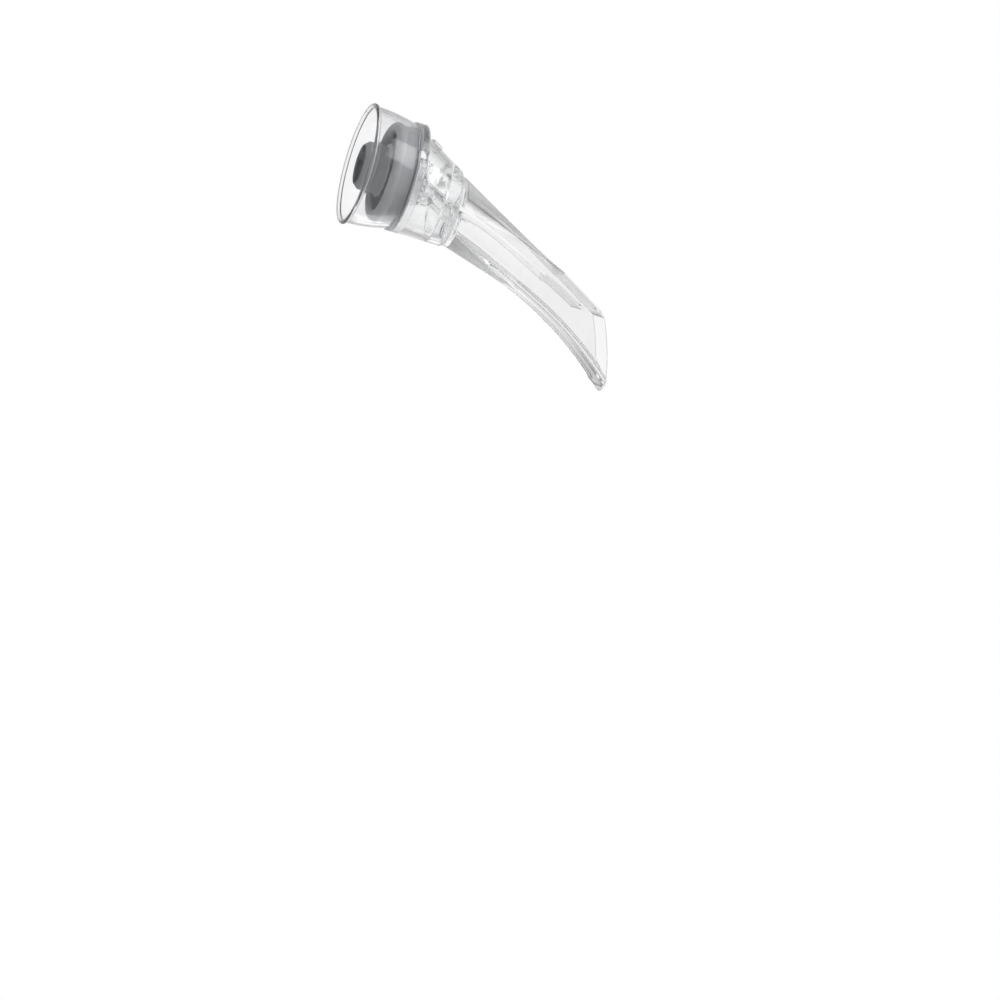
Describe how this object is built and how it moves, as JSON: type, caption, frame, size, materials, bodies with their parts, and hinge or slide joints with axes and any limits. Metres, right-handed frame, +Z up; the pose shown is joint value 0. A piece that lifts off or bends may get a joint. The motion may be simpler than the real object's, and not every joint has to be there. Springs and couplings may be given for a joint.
{
  "type": "wine aerator pourer",
  "caption": "Clear wine aerator pourer: silicone stopper in a bell-shaped skirt, oblique air chamber with a jet nozzle, and a long leaning spout with an open bill.",
  "frame": {"origin": "middle of the flat land under the skirt's rim, on the bottle's axis", "axes": "+Z up along the bottle's axis from the bottle towards the spout, +X the side that the spout leans to, XZ the plane of symmetry"},
  "size_m": [0.0757, 0.0434, 0.1078],
  "materials": {
    "clear_plastic": "polished clear injection-moulded acrylic",
    "silicone": "milky grey translucent silicone, satin"
  },
  "bodies": {
    "root": {"skirt": "clear_plastic", "chamber": "clear_plastic", "nozzle": "clear_plastic", "spout": "clear_plastic", "stopper": "silicone"}
  },
  "joints": []
}
